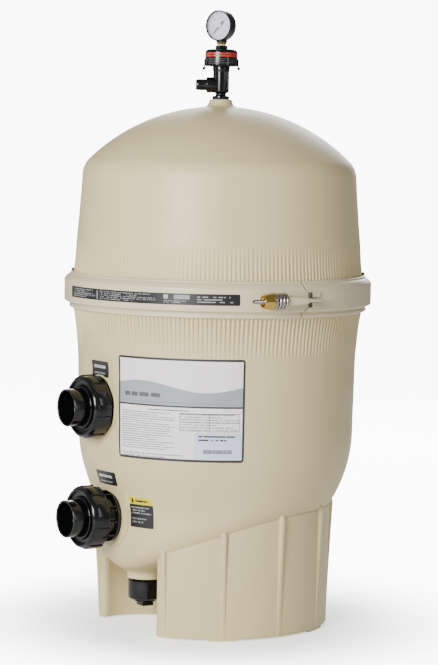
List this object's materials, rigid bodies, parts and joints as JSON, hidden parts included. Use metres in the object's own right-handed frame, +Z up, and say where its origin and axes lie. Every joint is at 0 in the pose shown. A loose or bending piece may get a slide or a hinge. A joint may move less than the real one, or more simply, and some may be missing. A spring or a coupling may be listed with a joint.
{
  "type": "cartridge filter housing",
  "caption": "Two-piece round pool filter housing with a split clamp band, ribbed base, union ports, drain plug and an air relief valve with gauge, holding pleated filter elements.",
  "frame": {"origin": "middle of the bounding box, on the floor that the foot pads rest on", "axes": "+Z up along the tank; the two ports point to -Y; +X is the side with the clamp's bolt"},
  "size_m": [0.6037, 0.605, 1.1445],
  "materials": {
    "tank_plastic": "moulded beige fibre-reinforced plastic, satin",
    "clamp_plastic": "moulded light grey-beige plastic, satin",
    "black_plastic": "glossy black moulded plastic",
    "seal_rubber": "black rubber",
    "bolt_steel": "stainless steel",
    "nut_brass": "turned brass",
    "white_plastic": "white moulded plastic",
    "cap_plastic": "blue end cap urethane",
    "pleat_fabric": "white pleated polyester",
    "label_print": "printed vinyl label",
    "label_black": "black vinyl label",
    "label_yellow": "yellow and black vinyl label",
    "valve_red": "red printed band",
    "tape_white": "white thread tape",
    "dial_white": "white printed dial",
    "lens_clear": "clear flat window"
  },
  "bodies": {
    "tank": {"lower_shell": "tank_plastic", "base_skirt": "tank_plastic", "tank_oring": "seal_rubber", "clamp_band": "clamp_plastic", "clamp_bumpers": "seal_rubber", "clamp_t_bolt": "bolt_steel", "clamp_spring": "bolt_steel", "inlet_bulkhead": "black_plastic", "outlet_bulkhead": "black_plastic", "wall_gaskets": "seal_rubber", "bulkhead_lock_nuts": "black_plastic", "union_orings": "seal_rubber", "inlet_diffuser": "white_plastic", "outlet_elbow": "white_plastic", "bottom_manifold": "white_plastic", "top_manifold": "white_plastic", "tie_rod": "bolt_steel", "tie_knob": "black_plastic", "element_pleats_1": "pleat_fabric", "element_pleats_2": "pleat_fabric", "element_pleats_3": "pleat_fabric", "element_pleats_4": "pleat_fabric", "element_caps_1": "cap_plastic", "element_caps_2": "cap_plastic", "element_caps_3": "cap_plastic", "element_caps_4": "cap_plastic", "drain_adapter": "black_plastic", "drain_adapter_seal": "seal_rubber", "drain_lock_nut": "black_plastic", "main_label": "label_print", "inlet_label": "label_black", "outlet_label": "label_black", "notice_label": "label_yellow", "clamp_label": "label_black"},
    "lid": {"upper_shell": "tank_plastic", "relief_stem": "black_plastic", "stem_oring": "seal_rubber", "stem_nut": "black_plastic", "air_strainer": "white_plastic"},
    "relief_valve": {"relief_valve_body": "black_plastic", "valve_band": "valve_red", "gauge_socket": "nut_brass", "thread_tape": "tape_white", "gauge_case": "black_plastic", "gauge_bezel": "black_plastic", "gauge_dial": "dial_white", "gauge_lens": "lens_clear", "gauge_tube": "nut_brass"},
    "gauge_pointer": {"gauge_needle": "black_plastic"},
    "left_lock_tab": {"lock_tab_left": "black_plastic"},
    "right_lock_tab": {"lock_tab_right": "black_plastic"},
    "inlet_tail": {"inlet_tailpiece": "black_plastic"},
    "inlet_nut": {"inlet_union_nut": "black_plastic"},
    "outlet_tail": {"outlet_tailpiece": "black_plastic"},
    "outlet_nut": {"outlet_union_nut": "black_plastic"},
    "spring_washer": {"clamp_washer": "bolt_steel"},
    "brass_nut": {"clamp_nut": "nut_brass"},
    "plug_gasket": {"drain_plug_gasket": "seal_rubber"},
    "plug": {"drain_plug": "black_plastic"}
  },
  "joints": [
    {"name": "lid_lift", "type": "slide", "parent": "tank", "child": "lid", "axis": [0, 0, 1], "range_m": [0, 0.36], "deforming": ["clamp_band"]},
    {"name": "relief_turn", "type": "hinge", "parent": "lid", "child": "relief_valve", "pos_m": [-0.01525, 0.016, 1.05], "axis": [0, 0, 1], "range_deg": [0, 90]},
    {"name": "needle_sweep", "type": "hinge", "parent": "relief_valve", "child": "gauge_pointer", "pos_m": [-0.01525, 0.016, 1.114], "axis": [-0.3746, 0.9272, 0], "range_deg": [0, 270], "stiffness_Nm_per_rad": 0.00002},
    {"name": "left_tab_flex", "type": "hinge", "parent": "relief_valve", "child": "left_lock_tab", "pos_m": [-0.03153, -0.00908, 1.049], "axis": [-0.8387, 0.5446, 0], "range_deg": [0, 10], "stiffness_Nm_per_rad": 0.05},
    {"name": "right_tab_flex", "type": "hinge", "parent": "relief_valve", "child": "right_lock_tab", "pos_m": [0.00103, 0.04108, 1.049], "axis": [0.8387, -0.5446, 0], "range_deg": [0, 10], "stiffness_Nm_per_rad": 0.05},
    {"name": "inlet_tail_slide", "type": "slide", "parent": "tank", "child": "inlet_tail", "axis": [0, -1, 0], "range_m": [0, 0.018]},
    {"name": "inlet_nut_spin", "type": "hinge", "parent": "inlet_tail", "child": "inlet_nut", "pos_m": [-0.01525, -0.26, 0.416], "axis": [0, -1, 0], "range_deg": [0, 1080]},
    {"name": "outlet_tail_slide", "type": "slide", "parent": "tank", "child": "outlet_tail", "axis": [0, -1, 0], "range_m": [0, 0.018]},
    {"name": "outlet_nut_spin", "type": "hinge", "parent": "outlet_tail", "child": "outlet_nut", "pos_m": [-0.01525, -0.26, 0.213], "axis": [0, -1, 0], "range_deg": [0, 1080]},
    {"name": "washer_slide", "type": "slide", "parent": "tank", "child": "spring_washer", "axis": [-0.0523, -0.9986, 0], "range_m": [0, 0.012], "deforming": ["clamp_spring"]},
    {"name": "clamp_nut_spin", "type": "hinge", "parent": "spring_washer", "child": "brass_nut", "pos_m": [0.28514, -0.06083, 0.6225], "axis": [-0.0523, -0.9986, 0], "range_deg": [0, 2880]},
    {"name": "plug_gasket_slide", "type": "slide", "parent": "tank", "child": "plug_gasket", "axis": [0, 0, -1], "range_m": [0, 0.0125]},
    {"name": "drain_plug_spin", "type": "hinge", "parent": "plug_gasket", "child": "plug", "pos_m": [-0.01525, -0.134, 0.06], "axis": [0, 0, -1], "range_deg": [0, 1800]}
  ],
  "couplings": [
    {"joint": "inlet_tail_slide", "follows": "inlet_nut_spin", "m_per_rad": 0.00095492},
    {"joint": "outlet_tail_slide", "follows": "outlet_nut_spin", "m_per_rad": 0.00095492},
    {"joint": "plug_gasket_slide", "follows": "drain_plug_spin", "m_per_rad": 0.00039788}
  ]
}
